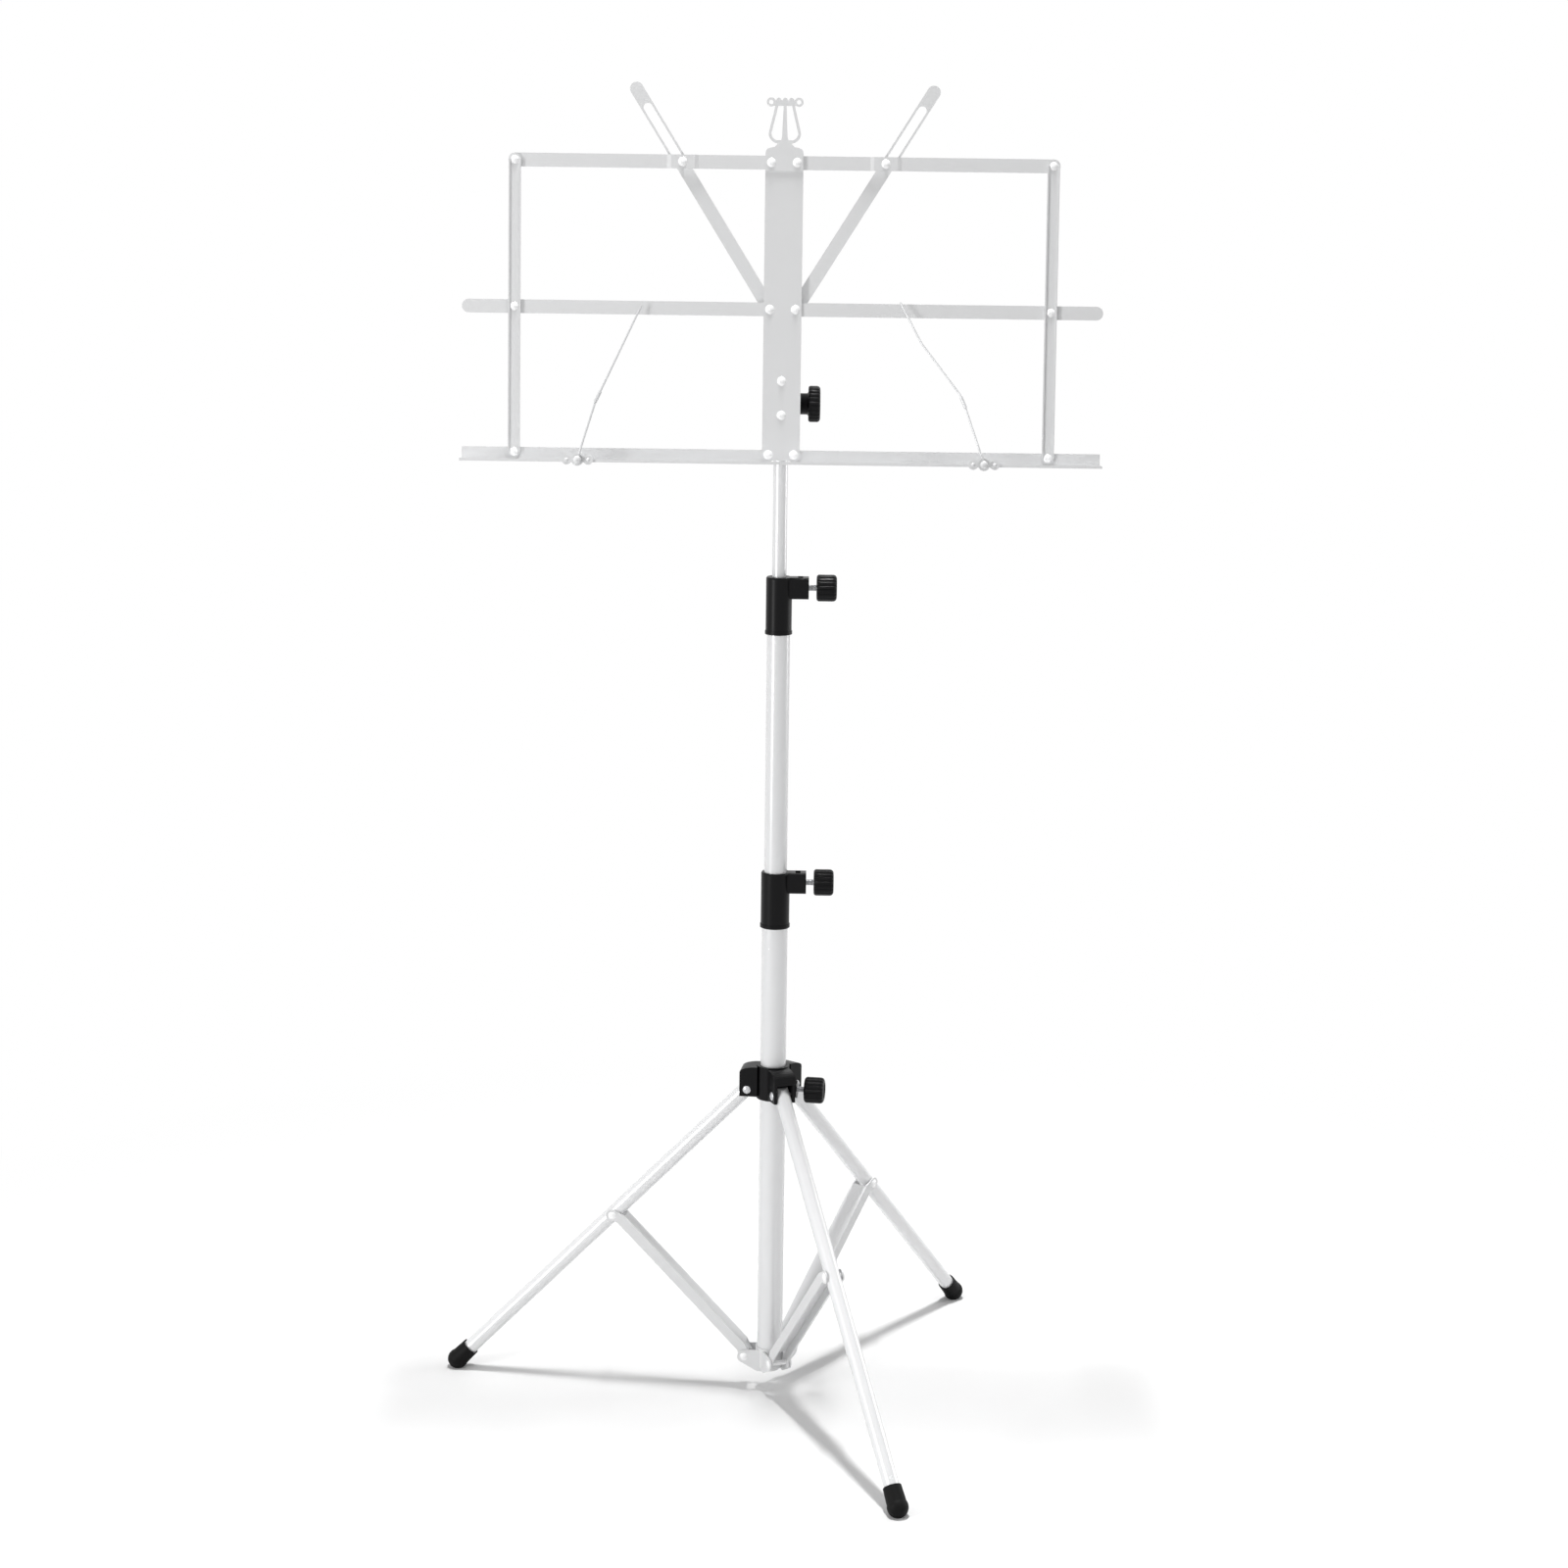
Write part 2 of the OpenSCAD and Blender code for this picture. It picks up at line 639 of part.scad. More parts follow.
// A U of plate: its back is riveted to the spine and its ears hold the tongue
module tilt_bracket() {
    edge = 5;
    low = centre_rivet_low_z - edge;
    high = centre_rivet_z + edge;
    color(pale_metal) on_desk() difference() {
        union() {
            translate([-ear_out, spine_back_y, low]) cube([2 * ear_out, ear_t, high - low]);
            for (x = [-ear_out, ear_x]) translate([x, 0, 0]) rotate([90, 0, 90]) linear_extrude(ear_t) {
                circle(r = tilt_eye_r + 0.5);
                polygon([[spine_back_y, low], [0, -tilt_eye_r - 0.5], [0, tilt_eye_r + 0.5],
                         [spine_back_y, high]]);
            }
        }
        translate([-2 * ear_out, 0, 0]) rotate([0, 90, 0])
            cylinder(d = tilt_bolt_d + 2 * seat_gap, h = 4 * ear_out);
        for (z = [centre_rivet_low_z, centre_rivet_z]) desk_hole(0, z, shank_d + 2 * seat_gap);
    }
}

module centre_rivets() {
    color(steel) on_desk() for (z = [centre_rivet_low_z, centre_rivet_z])
        desk_rivet(0, face_y, z, sheet + ear_t);
}

module tilt_bolt() {
    head_t = 4;
    head_w = 10;
    color(steel) on_desk() rotate([0, 90, 0]) {
        translate([0, 0, -ear_out - head_t]) cylinder(d = head_w / cos(30), h = head_t, $fn = 6);
        translate([0, 0, -ear_out - over]) cylinder(d = tilt_bolt_d, h = knob_boss_end + 4 + ear_out + over);
    }
}

module tilt_knob() {
    boss_d = 16.4;
    color(black_plastic) on_desk() rotate([0, 90, 0]) difference() {
        union() {
            translate([0, 0, ear_out + face_gap]) cylinder(d = boss_d, h = knob_boss_end - ear_out);
            translate([0, 0, knob_boss_end]) fluted_knob(tilt_knob_d, tilt_knob_t, 24);
        }
        cylinder(d = tilt_bolt_d + 2 * turn_gap, h = knob_boss_end + 5);
    }
}

// ---------- Desk: spine ----------

module spine() {
    color(pale_metal) on_desk() difference() {
        plate(face_y, sheet) {
            translate([-spine_w / 2, low_z]) square([spine_w, spine_top_z - low_z - 4]);
            translate([0, top_z]) rounded_rect(spine_w, 2 * row_inset, 4);
            for (x = [-pivot_x, pivot_x]) translate([x, low_z]) circle(r = lobe_r);
            translate([-pivot_x, low_z - lobe_r + 1]) square([2 * pivot_x, lobe_r]);
        }
        for (x = [-pivot_x, pivot_x], z = [low_z, mid_z, top_z]) desk_hole(x, z, shank_d + 2 * seat_gap);
        for (z = [centre_rivet_low_z, centre_rivet_z]) desk_hole(0, z, shank_d + 2 * seat_gap);
    }
}

// Pivots of the wings. The middle row also carries the book arms, past a shoulder
module spine_rivets() {
    plain = bar_back_y - face_y;
    long = arm_back_y - face_y + face_gap;
    shoulder_d = 7;
    color(steel) on_desk() for (x = [-pivot_x, pivot_x]) {
        desk_rivet(x, face_y, low_z, plain + face_gap);
        desk_rivet(x, face_y, mid_z, long);
        translate([x, bar_back_y + face_gap, mid_z]) rotate([-90, 0, 0])
            cylinder(d = shoulder_d, h = arm_y - bar_back_y - 2 * face_gap);
        desk_rivet(x, face_y - finial_t, top_z, plain + finial_t + face_gap);
    }
}

// ---------- Desk: lyre finial ----------

// Half of the lyre: its belly and horn, half of the crossbar with a ring, and half of the foot
module lyre_half() {
    rail_z = finial_height - 5.5;
    belly_r = 6.6;
    belly_x = 4.6;
    belly_z = 11.5;
    ring_x = 10.5;
    horn_x = 6.2;
    half_band = finial_band / 2;
    // Crossbar and the bumps along its top and bottom
    translate([0, rail_z - 2.6]) square([ring_x - 2.4, 4.2]);
    for (x = [0, 4.8]) translate([x, rail_z + 1.7]) circle(r = 1.8);
    // Ring at the end of the crossbar
    translate([ring_x, rail_z + 0.2]) difference() {
        circle(r = 3.4);
        circle(r = 1.7);
    }
    // Belly, and the horn that leans in from it to the crossbar
    translate([belly_x, belly_z]) intersection() {
        difference() {
            circle(r = belly_r + half_band, $fn = fine);
            circle(r = belly_r - half_band, $fn = fine);
        }
        translate([0, -2 * belly_r]) square([2 * belly_r, 2 * belly_r]);
    }
    polygon([[belly_x + belly_r - half_band, belly_z], [belly_x + belly_r + half_band, belly_z],
             [horn_x + half_band + 1.6, rail_z - 9], [horn_x + half_band, rail_z - 2],
             [horn_x - half_band, rail_z - 2], [horn_x - half_band + 1.6, rail_z - 9]]);
    // Spike in the middle
    polygon([[0, 4], [3.4, 4], [2.1, 9], [1, rail_z], [0, rail_z]]);
    // Neck, shoulders and the foot plate over the spine
    polygon([[0, -4], [spine_w / 2 - 3, -4], [spine_w / 2 - 3, 0.5], [7.5, 1.2], [5.6, 3.2], [5.6, 6.2],
             [0, 6.2]]);
    translate([0, -2 * row_inset + 4.2]) square([spine_w / 2 - 0.2, 2 * row_inset - 7]);
    translate([spine_w / 2 - 3.2, -2.8]) circle(r = 3);
}

module lyre_finial() {
    color(pale_metal) on_desk() difference() {
        plate(face_y - finial_t, finial_t) translate([0, spine_top_z]) {
            lyre_half();
            mirror([1, 0]) lyre_half();
        }
        for (x = [-pivot_x, pivot_x]) desk_hole(x, top_z, shank_d + 2 * seat_gap);
    }
}

// ---------- Desk: wings ----------

module wing_hole(s, z, gap) { desk_hole(pivot_x + s, z, shank_d + 2 * gap); }

module mid_bar(side) {
    color(pale_metal) on_side(side) difference() {
        plate(bar_y, sheet) translate([pivot_x, mid_z]) strip(bar_w, 0, wing_length - bar_w / 2);
        wing_hole(0, mid_z, turn_gap);
        wing_hole(side_reach, mid_z, seat_gap);
    }
}

// Plan of the joggled top bar: it steps forward where the arm's pin goes through
module top_bar_plan() {
    front = bar_y - joggle;
    a = guide_reach - joggle_w / 2;
    b = guide_reach + joggle_w / 2;
    end = side_reach + bar_w;
    polygon([[-bar_w, bar_y], [a - joggle_run, bar_y], [a, front], [b, front], [b + joggle_run, bar_y],
             [end, bar_y], [end, bar_back_y], [b + joggle_run + 0.4, bar_back_y], [b + 0.4, front + sheet],
             [a - 0.4, front + sheet], [a - joggle_run - 0.4, bar_back_y], [-bar_w, bar_back_y]]);
}

module top_bar(side) {
    color(pale_metal) on_side(side) difference() {
        intersection() {
            plate(bar_y - 2 * joggle, desk_reach) translate([pivot_x, top_z]) strip(bar_w, 0, side_reach);
            translate([pivot_x, 0, top_z - bar_w]) linear_extrude(2 * bar_w) top_bar_plan();
        }
        wing_hole(0, top_z, turn_gap);
        wing_hole(side_reach, top_z, seat_gap);
        desk_hole(pivot_x + guide_reach, top_z, guide_d + 2 * seat_gap);
    }
}

module top_rivets(side) {
    guide_y = bar_y - joggle;
    color(steel) on_side(side) {
        desk_rivet(pivot_x + guide_reach, guide_y, top_z, arm_back_y + face_gap - guide_y, guide_d, head_d,
                   arm_w - 1.6);
        desk_rivet(pivot_x + side_reach, face_y, top_z, bar_back_y - face_y, shank_d, tail_d, tail_d);
    }
}

module mid_rivet(side) {
    color(steel) on_side(side)
        desk_rivet(pivot_x + side_reach, face_y, mid_z, bar_back_y - face_y, shank_d, tail_d, tail_d);
}

module ledge_rivet(side) {
    color(steel) on_side(side)
        desk_rivet(pivot_x + side_reach, face_y, low_z, bar_back_y - face_y, shank_d, tail_d, tail_d);
}

// The lower bar is bent forward into the shelf, with a low lip along its front
module ledge(side) {
    drop = shelf_drop + sheet;
    length = wing_length - shelf_start;
    color(pale_metal) on_side(side) difference() {
        union() {
            plate(bar_y, sheet) translate([pivot_x, low_z]) {
                translate([0, -drop]) square([wing_length, drop + ledge_rise]);
                circle(r = drop - 2);
            }
            translate([pivot_x + shelf_start, shelf_front_y, shelf_z - sheet])
                cube([length, bar_back_y - shelf_front_y, sheet]);
            translate([pivot_x + shelf_start, shelf_front_y, shelf_z - sheet])
                cube([length, sheet, sheet + shelf_lip]);
        }
        wing_hole(0, low_z, turn_gap);
        wing_hole(side_reach, low_z, seat_gap);
    }
}

module side_bar(side) {
    run = 2 * row_pitch;
    color(pale_metal) on_side(side) difference() {
        union() {
            plate(face_y, sheet) translate([pivot_x + side_reach, low_z]) rotate(90) strip(side_bar_w, 0, run);
            for (x = [-side_bar_w / 2, side_bar_w / 2 - 1])
                translate([pivot_x + side_reach + x, face_y - side_lip, low_z])
                    cube([1, side_lip + 0.01, run]);
        }
        for (z = [low_z, mid_z, top_z]) wing_hole(side_reach, z, turn_gap);
    }
}

module arm(side) {
    slot_start = guide_start - guide_d / 2 - 1.5 + slot_w / 2;
    slot_end = arm_length - arm_tip - slot_w / 2;
    color(pale_metal) on_side(side) translate([pivot_x, 0, mid_z]) rotate([0, arm_angle - 90, 0]) difference() {
        plate(arm_y, sheet) difference() {
            strip(arm_w, 0, arm_length - arm_w / 2);
            translate([slot_start, 0]) strip(slot_w, 0, slot_end - slot_start);
        }
        desk_hole(0, 0, shank_d + 2 * turn_gap);
    }
}

// ---------- Page clips ----------

module at_clip(side) {
    on_side(side) translate([pivot_x + clip_reach, 0, saddle_z]) children();
}

// A lobed plate hooked over the lip of the shelf, with the pin for the wire
module clip_saddle(side) {
    lobe = 3.8;
    end_x = saddle_w / 2 - lobe;
    color(pale_metal) at_clip(side) {
        plate(clip_y - saddle_t, saddle_t) {
            translate([-end_x, -2]) square([2 * end_x, 4]);
            for (x = [-end_x, end_x]) translate([x, 0]) circle(r = lobe);
            circle(r = lobe + 0.8);
        }
        for (x = [-end_x, end_x]) translate([x, clip_y - saddle_t, 0]) rotate([90, 0, 0])
            dome(3, saddle_dome_h);
        translate([0, clip_y - saddle_t, 0]) rotate([90, 0, 0]) {
            cylinder(d = clip_pin_d, h = wire_lift + wire_d + face_gap);
            translate([0, 0, wire_lift + wire_d + face_gap]) dome(2 * clip_pin_d, 1.2);
        }
        translate([-saddle_w / 4, clip_y - saddle_t, shelf_z + shelf_lip + face_gap - saddle_z])
            cube([saddle_w / 2, saddle_t + face_gap + sheet, saddle_hook]);
    }
}

// The wire: an eye round the pin, a crimped sleeve and a run that leans back to the bars
module page_wire(side, path) {
    eye = clip_pin_d / 2 + turn_gap + wire_d / 2;
    joint_d = wire_d + 0.3;
    sleeve_d = wire_d + 1;
    lean = (wire_top_y - wire_y) / (wire_rise - wire_knee);
    way = [for (p = path) [-p.x, wire_y + lean * max(p.y - wire_knee, 0), p.y]];
    start = [-path[1].x, 0, path[1].y] / norm(path[1]);
    knee = [0, wire_y, 0] + start * wire_knee / start.z;
    last = len(way) - 1;
    sleeve_at = way[1];
    sleeve_dir = (way[2] - way[1]) / norm(way[2] - way[1]);
    first = [0, wire_y, 0] + start * eye;
    color(steel) at_clip(side) {
        translate([0, wire_y, 0]) rotate([90, 0, 0])
            rotate_extrude() translate([eye, 0]) circle(d = wire_d, $fn = 24);
        bar_between(first, knee, wire_d);
        translate(knee) sphere(d = joint_d);
        bar_between(knee, way[1], wire_d);
        for (i = [1 : last - 1]) {
            bar_between(way[i], way[i + 1], wire_d);
            translate(way[i]) sphere(d = joint_d);
        }
        translate(way[last]) sphere(d = joint_d);
        bar_between(sleeve_at - sleeve_dir, sleeve_at + sleeve_length * sleeve_dir, sleeve_d);
    }
}

// ---------- Parts ----------

outer_tube();
base_bracket();
strut_rivets();
lower_clamp();
lower_nut();
lower_knob();
lower_stud();
tripod_hub();
hub_rivets();
hub_knob();
hub_stud();
strut(left_az);  // left_strut
strut(rear_az);  // rear_strut
strut(front_az);  // front_strut
leg(left_az);  // left_leg
leg(rear_az);  // rear_leg
leg(front_az);  // front_leg
foot(left_az);  // left_foot
foot(rear_az);  // rear_foot
foot(front_az);  // front_foot
leg_rivet(left_az);  // left_leg_rivet
leg_rivet(rear_az);  // rear_leg_rivet
leg_rivet(front_az);  // front_leg_rivet
middle_bush();
middle_tube();
upper_clamp();
upper_nut();
upper_knob();
upper_stud();
rod_bush();
mast_rod();
tilt_head();
spine();
lyre_finial();
tilt_bracket();
centre_rivets();
spine_rivets();
tilt_bolt();
tilt_knob();
mid_bar(-1);  // left_mid_bar
mid_bar(1);  // right_mid_bar
mid_rivet(-1);  // left_mid_rivet
mid_rivet(1);  // right_mid_rivet
top_bar(-1);  // left_top_bar
top_bar(1);  // right_top_bar
top_rivets(-1);  // left_top_rivets
top_rivets(1);  // right_top_rivets
ledge(-1);  // left_ledge
ledge(1);  // right_ledge
ledge_rivet(-1);  // left_ledge_rivet
ledge_rivet(1);  // right_ledge_rivet
side_bar(-1);  // left_side_bar
side_bar(1);  // right_side_bar
arm(-1);  // left_arm
arm(1);  // right_arm
clip_saddle(-1);  // left_clip_saddle
clip_saddle(1);  // right_clip_saddle
page_wire(-1, left_wire);  // left_page_wire
page_wire(1, right_wire);  // right_page_wire
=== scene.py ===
"""Dresses a folding music stand: finishes, turned knobs, screw threads and sprung page wires."""

import json
import logging
from dataclasses import dataclass, field
from enum import Enum
from math import cos, pi, radians, sin
from typing import Any

import bmesh
import bpy
from mathutils import Matrix, Vector

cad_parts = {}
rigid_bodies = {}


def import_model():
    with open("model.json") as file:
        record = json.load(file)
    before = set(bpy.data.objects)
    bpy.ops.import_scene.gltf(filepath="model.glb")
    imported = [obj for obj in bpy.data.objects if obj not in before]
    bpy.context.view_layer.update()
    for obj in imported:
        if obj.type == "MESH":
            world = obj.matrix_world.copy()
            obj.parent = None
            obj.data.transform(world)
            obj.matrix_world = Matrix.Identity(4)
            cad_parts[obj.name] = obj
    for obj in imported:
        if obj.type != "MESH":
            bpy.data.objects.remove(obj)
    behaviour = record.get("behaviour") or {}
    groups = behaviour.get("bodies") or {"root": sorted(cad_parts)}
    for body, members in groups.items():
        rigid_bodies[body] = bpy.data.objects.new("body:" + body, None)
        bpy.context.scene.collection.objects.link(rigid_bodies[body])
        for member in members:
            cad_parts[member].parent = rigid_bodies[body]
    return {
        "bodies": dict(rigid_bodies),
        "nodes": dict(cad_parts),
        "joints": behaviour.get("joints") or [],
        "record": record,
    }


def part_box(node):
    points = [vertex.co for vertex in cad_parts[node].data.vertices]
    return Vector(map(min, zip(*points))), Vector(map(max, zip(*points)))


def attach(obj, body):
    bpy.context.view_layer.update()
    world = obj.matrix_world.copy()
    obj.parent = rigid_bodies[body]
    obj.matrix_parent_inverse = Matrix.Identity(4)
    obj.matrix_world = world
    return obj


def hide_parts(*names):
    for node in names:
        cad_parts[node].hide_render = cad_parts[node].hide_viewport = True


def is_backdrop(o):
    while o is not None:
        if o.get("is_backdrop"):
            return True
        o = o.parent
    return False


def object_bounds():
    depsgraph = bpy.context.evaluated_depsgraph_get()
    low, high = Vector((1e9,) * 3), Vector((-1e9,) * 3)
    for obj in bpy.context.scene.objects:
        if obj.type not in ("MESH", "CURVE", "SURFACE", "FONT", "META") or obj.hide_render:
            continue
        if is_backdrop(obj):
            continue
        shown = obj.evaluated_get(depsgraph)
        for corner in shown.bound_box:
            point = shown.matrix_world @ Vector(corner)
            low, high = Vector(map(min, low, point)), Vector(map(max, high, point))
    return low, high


log = logging.getLogger("music_stand")
MM = 0.001

# Sockets that share a name with others of their node are reached by index.
MIX_FACTOR, MIX_FIRST, MIX_SECOND, MIX_RESULT = 0, 6, 7, 2

# The scales of the broad mottling and the dust that every finish has, and how deep its relief is, in metres.
MOTTLE_SCALE, DUST_SCALE, DUST_LEVEL, DUST_CONTRAST = 22.0, 140.0, 0.56, 6.0
RELIEF_DEPTH = 0.0002

# The depth of a knob's flutes in millimetres, and how far a flute's floor runs on past its cosine.
FLUTE_DEPTH, FLUTE_FLAT = 0.9, 0.2


class Dressing(Enum):
    """The finishes that the stand's pieces can have."""

    TUBE = "bright_tube"
    SHEET = "desk_metal"
    STEEL = "steel"
    PLASTIC = "black"
    RUBBER = "rubber"
    RIVET = "rivet"
    WIRE = "wire"


class Flow:
    """One socket of a shader, so that maths on it reads as Python."""

    def __init__(self, tree: "Tree", socket: Any) -> None:
        """Wraps a socket of a tree."""
        self.tree = tree
        self.socket = socket

    def _math(self, operation: str, *terms: Any) -> "Flow":
        """Adds a Math node.

        Args:
            operation: the Math node's operation.
            terms: its inputs, as numbers or flows.

        Returns:
            The node's result.
        """
        node = self.tree.add("ShaderNodeMath", {"operation": operation}, dict(enumerate(terms)))
        return Flow(self.tree, node.outputs[0])

    def __add__(self, other: Any) -> "Flow":
        """Sum."""
        return self._math("ADD", self, other)

    __radd__ = __add__

    def __mul__(self, other: Any) -> "Flow":
        """Product."""
        return self._math("MULTIPLY", self, other)

    __rmul__ = __mul__

    def __sub__(self, other: Any) -> "Flow":
        """Difference."""
        return self._math("SUBTRACT", self, other)

    def clamped(self) -> "Flow":
        """This value held between 0 and 1."""
        return self._math("MAXIMUM", self._math("MINIMUM", self, 1.0), 0.0)


class Tree:
    """A node tree with one way of adding any node."""

    def __init__(self, nodes: bpy.types.NodeTree) -> None:
        """Takes the tree that nodes are added to."""
        self.nodes = nodes

    def add(self, kind: str, settings: dict[str, Any] | None = None, inputs: dict[Any, Any] | None = None) -> Any:
        """Adds a node.

        Args:
            kind: the node's type.
            settings: its properties.
            inputs: values, flows or sockets by the input's name or index.

        Returns:
            The new node.
        """
        node = self.nodes.nodes.new(kind)
        for name, value in (settings or {}).items():
            setattr(node, name, value)
        for name, value in (inputs or {}).items():
            self.feed(node.inputs[name], value)
        return node

    def feed(self, socket: Any, value: Any) -> None:
        """Links a flow or an output to a socket, or sets the socket's value."""
        if isinstance(value, Flow):
            value = value.socket
        if isinstance(value, bpy.types.NodeSocket):
            self.nodes.links.new(value, socket)
        else:
            socket.default_value = value


@dataclass(frozen=True)
class Finish:
    """One finish: its colour, its gloss, and the fine relief and wear that vary over it."""

    name: str
    colour: tuple[float, float, float]
    metallic: float = 0.0
    roughness: float = 0.4
    gloss_spread: float = 0.06
    grain: float = 900.0
    relief: float = 0.08
    tone: float = 0.04
    stretch: tuple[float, float, float] = (1, 1, 1)
    scuff: float = 0.0
    shine: float = 0.5

    def make(self) -> bpy.types.Material:
        """Builds the material.

        Returns:
            The finished material.
        """
        material = bpy.data.materials.new(self.name)
        material.use_nodes = True
        material.node_tree.nodes.clear()
        tree = Tree(material.node_tree)
        place = tree.add("ShaderNodeTexCoord").outputs["Object"]
        drawn = tree.add("ShaderNodeMapping", {}, {"Vector": place, "Scale": self.stretch}).outputs[0]
        fine = self._noise(tree, drawn, self.grain, 3.0)
        broad = self._noise(tree, place, MOTTLE_SCALE, 4.0)
        dust = (self._noise(tree, place, DUST_SCALE, 6.0) - DUST_LEVEL).clamped() * DUST_CONTRAST
        roughness = (self.roughness + self.gloss_spread * (broad - 0.5) * 2.0
                     + self.gloss_spread * (fine - 0.5) + self.scuff * dust.clamped()).clamped()
        base = tree.add("ShaderNodeMix", {"data_type": "RGBA"}, {
            MIX_FACTOR: (broad * 0.6 + fine * 0.4).clamped(),
            MIX_FIRST: tuple(c * (1 - self.tone) for c in self.colour) + (1,),
            MIX_SECOND: tuple(min(c * (1 + self.tone), 1.0) for c in self.colour) + (1,),
        })
        bump = tree.add("ShaderNodeBump", {}, {"Strength": self.relief, "Distance": RELIEF_DEPTH, "Height": fine})
        body = tree.add("ShaderNodeBsdfPrincipled", {}, {
            "Base Color": base.outputs[MIX_RESULT], "Metallic": self.metallic, "Roughness": roughness,
            "Specular IOR Level": self.shine, "Normal": bump.outputs[0],
        })
        tree.add("ShaderNodeOutputMaterial", {}, {"Surface": body.outputs[0]})
        return material

    @staticmethod
    def _noise(tree: Tree, place: Any, scale: float, detail: float) -> Flow:
        """Returns a noise of a given scale and detail as a flow."""
        node = tree.add("ShaderNodeTexNoise", {}, {"Vector": place, "Scale": scale, "Detail": detail})
        return Flow(tree, node.outputs[0])


FINISHES = {
    Dressing.TUBE: Finish("silver_tube", (0.75, 0.753, 0.76), 0.2, 0.24, 0.03, 700, 0.004, 0.01, (1, 1, 0.05),
                          scuff=0.03),
    Dressing.SHEET: Finish("silver_sheet", (0.70, 0.703, 0.708), 0.1, 0.46, 0.06, 1500, 0.01, 0.015, scuff=0.06,
                           shine=0.3),
    Dressing.STEEL: Finish("zinc_steel", (0.56, 0.565, 0.58), 0.9, 0.3, 0.08, 1800, 0.05, 0.05, scuff=0.12),
    Dressing.PLASTIC: Finish("moulded_black", (0.003, 0.003, 0.0035), 0.0, 0.34, 0.06, 2600, 0.06, 0.15, scuff=0.06,
                             shine=0.14),
    Dressing.RUBBER: Finish("black_rubber", (0.003, 0.003, 0.003), 0.0, 0.55, 0.08, 1600, 0.2, 0.2, scuff=0.08,
                            shine=0.12),
    Dressing.RIVET: Finish("bright_rivet", (0.93, 0.93, 0.935), 0.1, 0.25, 0.04, 1500, 0.01, 0.02, scuff=0.03),
    Dressing.WIRE: Finish("spring_wire", (0.60, 0.603, 0.61), 0.4, 0.36, 0.05, 1800, 0.03, 0.04, scuff=0.1),
}


class Workshop:
    """Holds the materials and turns meshes into pieces of the stand."""

    def __init__(self, frame: dict[str, Any]) -> None:
        """Makes the finishes for a loaded frame."""
        self.frame = frame
        self.finishes = {kind: finish.make() for kind, finish in FINISHES.items()}

    def dress_frame(self) -> None:
        """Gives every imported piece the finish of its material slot."""
        slots = {s["node"]: s["material_slot"] for s in self.frame["record"]["subparts"]}
        for name, piece in self.frame["nodes"].items():
            kind = Dressing.RIVET if "rivet" in name and name != "hub_rivets" else Dressing(slots[name])
            material = self.finishes[kind]
            if not piece.material_slots:
                piece.data.materials.append(material)
            for slot in piece.material_slots:
                slot.link = "OBJECT"
                slot.material = material

    def piece(self, name: str, mesh: bpy.types.Mesh, dressing: Dressing, body: str, *nodes: str) -> bpy.types.Object:
        """Adds a finished mesh to the scene.

        Args:
            name: the piece's name.
            mesh: its mesh, in place.
            dressing: its finish.
            body: the body it rides on.
            nodes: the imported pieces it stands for.

        Returns:
            The new object.
        """
        mesh.name = name
        mesh.materials.clear()
        mesh.materials.append(self.finishes[dressing])
        made = bpy.data.objects.new(name, mesh)
        bpy.context.scene.collection.objects.link(made)
        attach(made, body)
        if nodes:
            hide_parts(*nodes)
        log.info("%s: %d faces, rides on %s", name, len(mesh.polygons), body)
        return made

    def grown(self, build: Any, values: dict[str, float], points: list[Vector] | None = None) -> bpy.types.Mesh:
        """Runs a Geometry Nodes tree and returns its result as a plain mesh.

        Args:
            build: a function that fills a Tree, given the tree's input node.
            values: the tree's named sizes.
            points: a path for the tree to start from.

        Returns:
            The evaluated mesh.
        """
        group = bpy.data.node_groups.new("grown", "GeometryNodeTree")
        group.interface.new_socket("Geometry", in_out="INPUT", socket_type="NodeSocketGeometry")
        keys = {n: group.interface.new_socket(n, in_out="INPUT", socket_type="NodeSocketFloat") for n in values}
        group.interface.new_socket("Geometry", in_out="OUTPUT", socket_type="NodeSocketGeometry")
        tree = Tree(group)
        entry = tree.add("NodeGroupInput")
        shape = build(tree, entry)
        real = tree.add("GeometryNodeRealizeInstances", {}, {0: shape}).outputs[0]
        dressed = tree.add("GeometryNodeSetMaterial", {}, {0: real, "Material": self.finishes[Dressing.STEEL]})
        tree.add("NodeGroupOutput", {}, {0: dressed.outputs[0]})
        seed = bpy.data.meshes.new("seed")
        path = points or [Vector()]
        seed.from_pydata(path, [(i, i + 1) for i in range(len(path) - 1)], [])
        holder = bpy.data.objects.new("holder", seed)
        bpy.context.scene.collection.objects.link(holder)
        modifier = holder.modifiers.new("grown", "NODES")
        modifier.node_group = group
        for name, key in keys.items():
            modifier[key.identifier] = float(values[name])
        bpy.context.view_layer.update()
        mesh = bpy.data.meshes.new_from_object(holder.evaluated_get(bpy.context.evaluated_depsgraph_get()))
        bpy.data.objects.remove(holder)
        return mesh


def smooth(mesh: bpy.types.Mesh) -> bpy.types.Mesh:
    """Shades a mesh smooth and returns it."""
    for face in mesh.polygons:
        face.use_smooth = True
    return mesh


